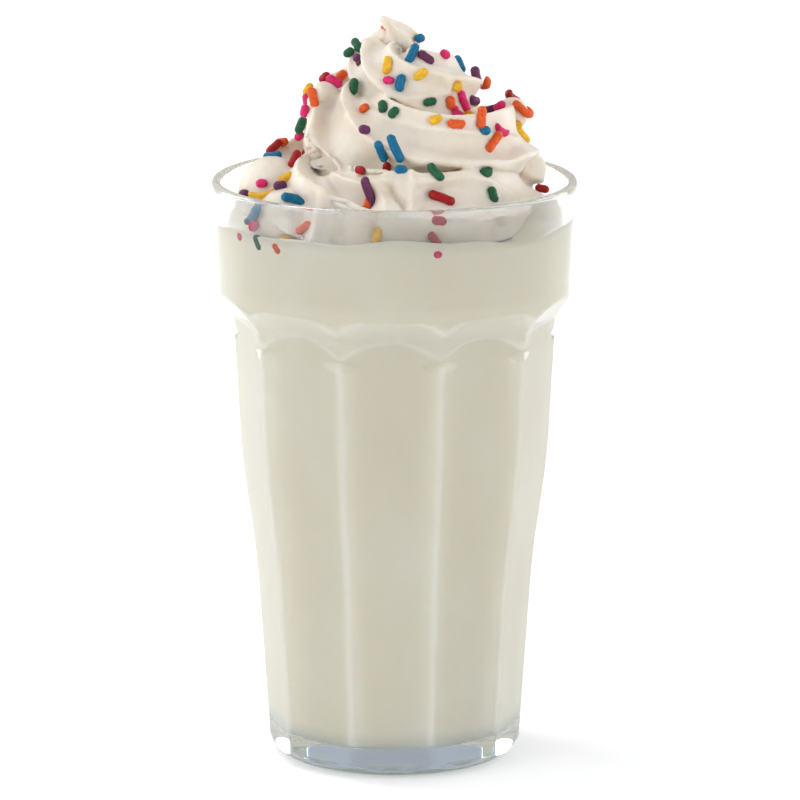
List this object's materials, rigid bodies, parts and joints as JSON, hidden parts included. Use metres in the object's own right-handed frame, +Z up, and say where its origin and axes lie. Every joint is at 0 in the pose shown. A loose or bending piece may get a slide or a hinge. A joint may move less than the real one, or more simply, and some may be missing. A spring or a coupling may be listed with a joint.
{
  "type": "milkshake",
  "caption": "Vanilla milkshake in a tall faceted soda glass with a round collar, topped with a piped swirl of whipped cream and coloured sprinkles.",
  "frame": {"origin": "centre of the glass's foot, on the surface it stands on", "axes": "+Z up along the glass's axis, -Y towards the front of the swirl, +X to the right"},
  "size_m": [0.09, 0.09, 0.1858],
  "materials": {
    "glass": "clear pressed glass, polished",
    "milkshake": "smooth pale vanilla milkshake",
    "whipped_cream": "soft satin whipped cream"
  },
  "bodies": {
    "root": {"glass": "glass", "milkshake": "milkshake", "whipped_cream": "whipped_cream"}
  },
  "joints": []
}
